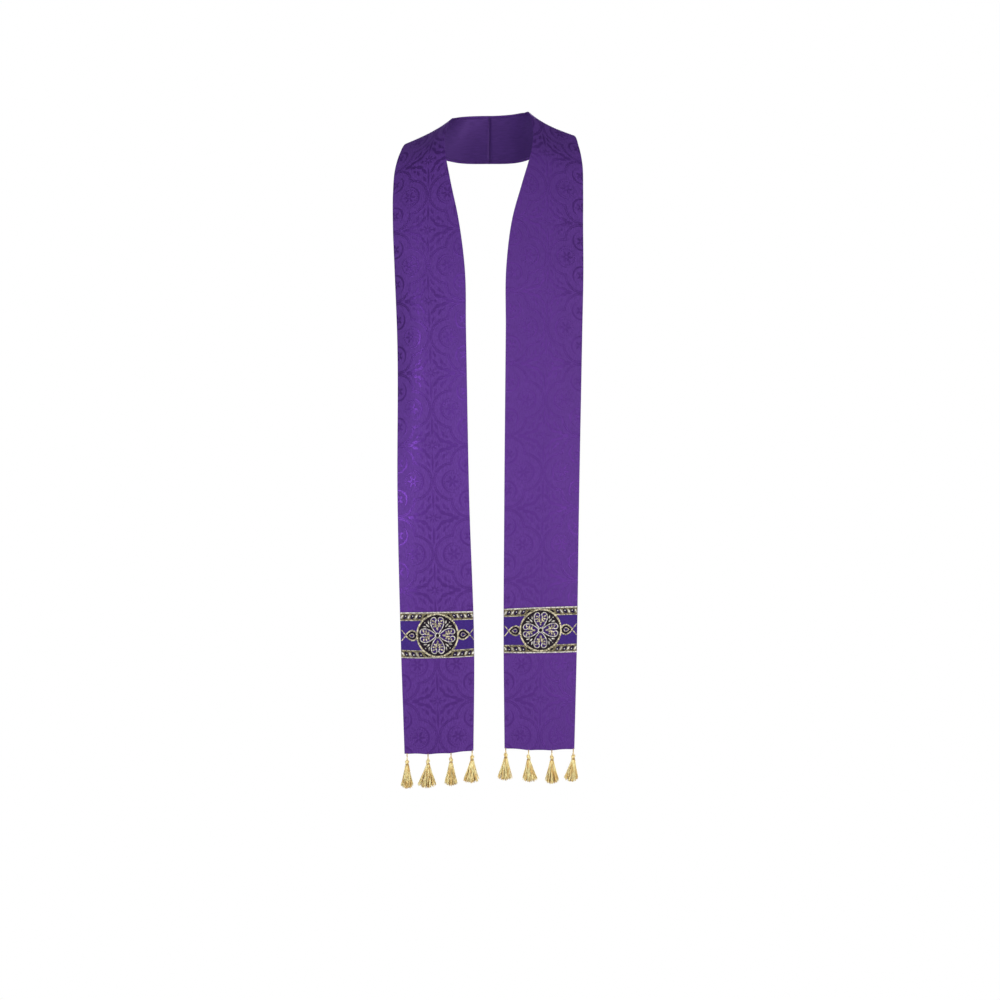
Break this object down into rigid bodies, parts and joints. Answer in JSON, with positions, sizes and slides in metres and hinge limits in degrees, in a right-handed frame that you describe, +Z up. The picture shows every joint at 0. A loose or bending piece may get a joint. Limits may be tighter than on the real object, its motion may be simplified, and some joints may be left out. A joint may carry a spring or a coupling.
{
  "type": "clerical stole",
  "caption": "Long purple damask stole in its worn form: it passes behind the neck and hangs down the front, with a woven gold galloon and small gold tassels at each hem.",
  "frame": {"origin": "middle of the nape seam, on the face of the cloth that lies against the wearer's neck", "axes": "+Z up, along the hanging bands; the front of the stole faces -Y; +X to the right as seen from the front"},
  "size_m": [0.3736, 0.2418, 1.3357],
  "materials": {
    "damask": "purple damask of two lustres, woven tone on tone, with a plain purple satin lining behind",
    "galloon": "woven braid: old-gold metallic figure on violet and near-black ground",
    "tassel": "shiny pale gold rayon thread"
  },
  "bodies": {
    "root": {"left_panel": "damask", "right_panel": "damask", "left_galloon": "galloon", "right_galloon": "galloon", "left_tassel_1": "tassel", "left_tassel_2": "tassel", "left_tassel_3": "tassel", "left_tassel_4": "tassel", "right_tassel_1": "tassel", "right_tassel_2": "tassel", "right_tassel_3": "tassel", "right_tassel_4": "tassel"}
  },
  "joints": []
}
